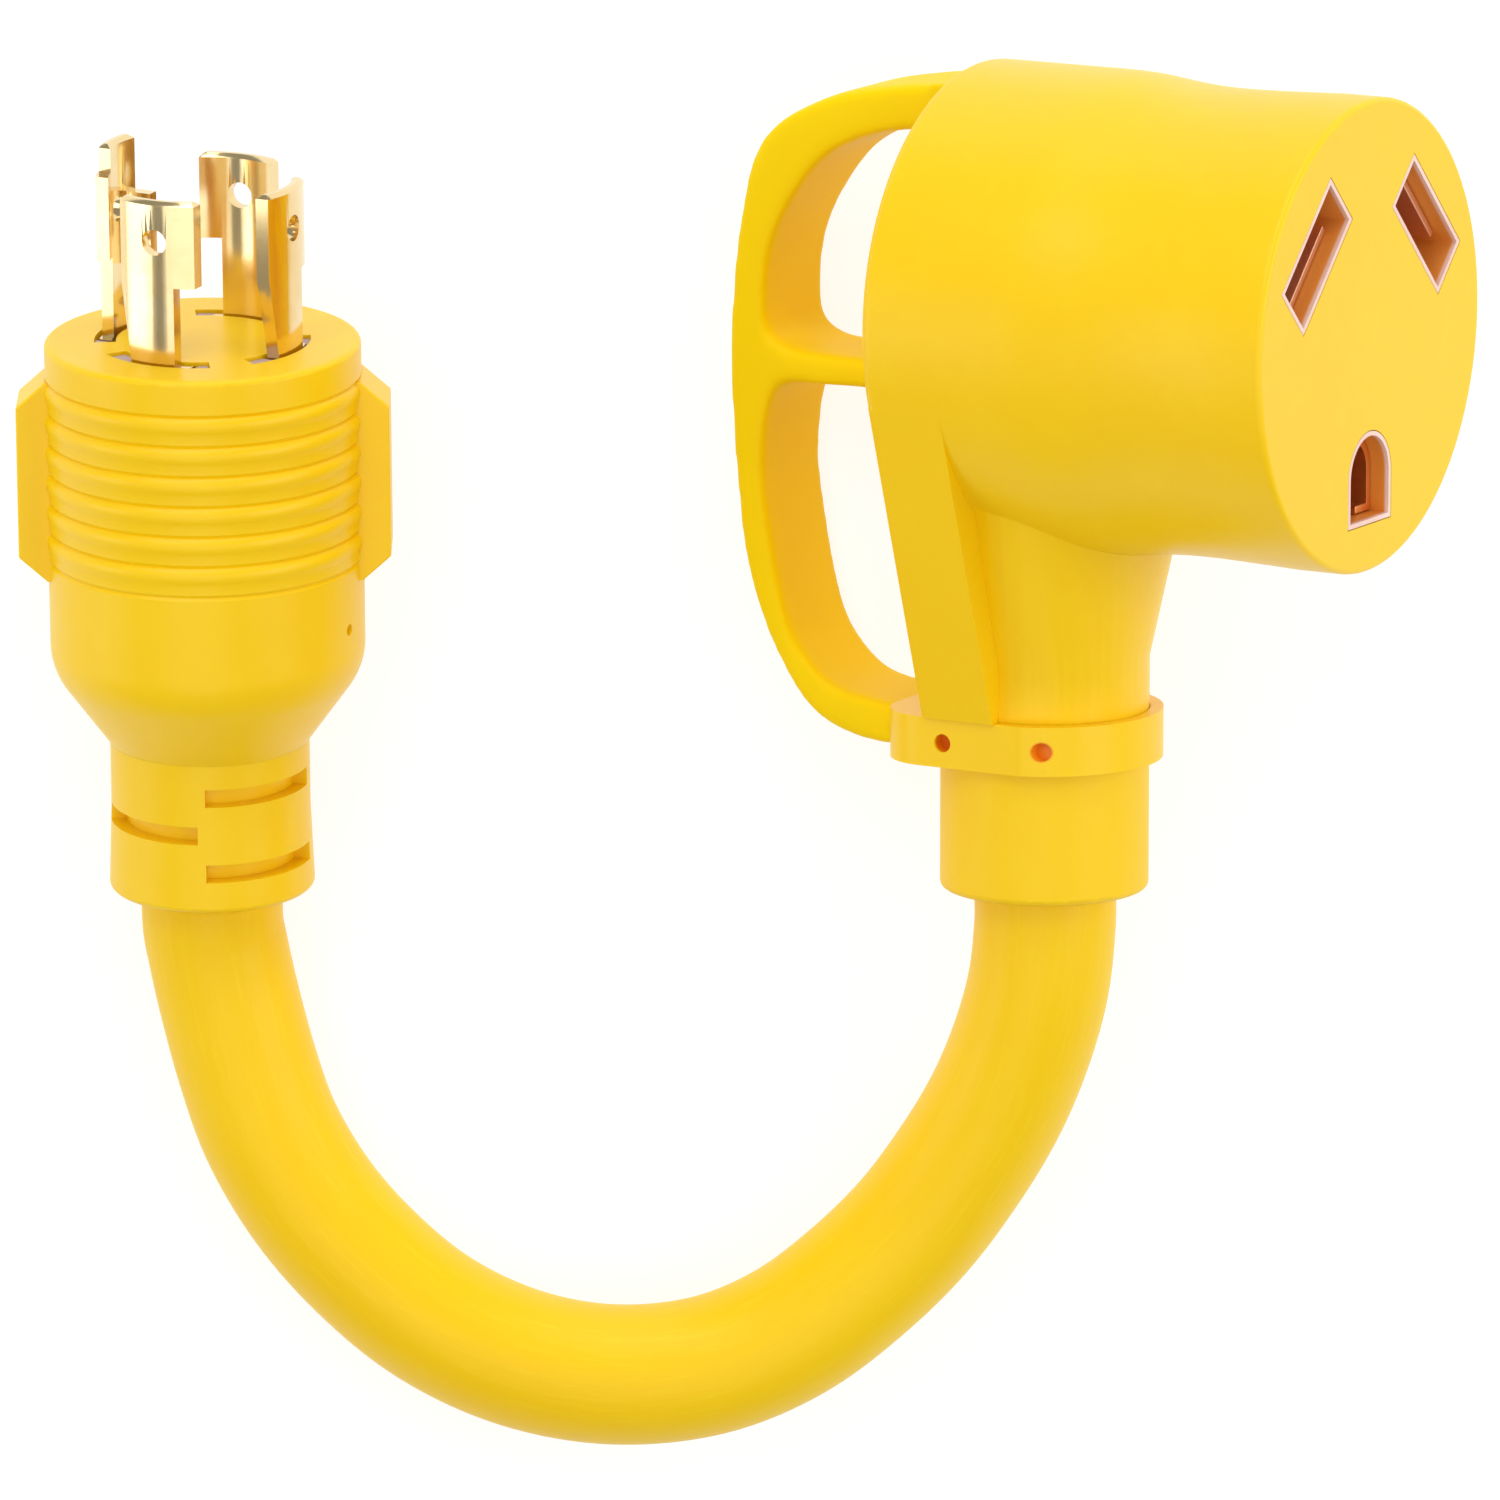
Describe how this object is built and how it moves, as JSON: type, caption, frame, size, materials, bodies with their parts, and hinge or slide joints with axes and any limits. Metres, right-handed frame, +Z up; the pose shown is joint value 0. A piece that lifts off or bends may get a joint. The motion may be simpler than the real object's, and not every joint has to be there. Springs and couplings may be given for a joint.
{
  "type": "shore power cord",
  "caption": "Short adapter-style shore power cord: round locking plug with curved hooked blades, thick flexible cord bent in a U, and a camper connector with slanted slots and a D grip handle.",
  "frame": {"origin": "on the table, under the middle of the box around the plug and the connector, without the cord", "axes": "+Z up from the table, +X from the plug towards the connector, +Y the way the plug's blades point, the cord's bend towards -Y"},
  "size_m": [0.1815, 0.1756, 0.078],
  "materials": {
    "yellow_pvc": "satin",
    "cord_pvc": "satin",
    "carrier": "matte",
    "socket_insert": "satin",
    "blade_brass": "polished",
    "copper": "satin",
    "black_insulation": "gloss",
    "white_insulation": "gloss",
    "green_insulation": "gloss",
    "filler_string": "matte"
  },
  "bodies": {
    "root": {"plug_shell": "yellow_pvc", "plug_strain_relief": "yellow_pvc", "blade_carrier": "carrier", "carrier_cap": "carrier", "blade_x": "blade_brass", "blade_y": "blade_brass", "blade_w": "blade_brass", "blade_g": "blade_brass", "connector_shell": "yellow_pvc", "grip_handle": "yellow_pvc", "neck_collar": "yellow_pvc", "cord_sleeve": "yellow_pvc", "socket_core": "socket_insert", "core_lid": "socket_insert", "contact_hot": "copper", "contact_neutral": "copper", "contact_ground": "copper", "cord_jacket": "cord_pvc", "core_black": "black_insulation", "core_white": "white_insulation", "core_green": "green_insulation", "strands_black": "copper", "strands_white": "copper", "strands_green": "copper", "cord_fillers": "filler_string"}
  },
  "joints": []
}
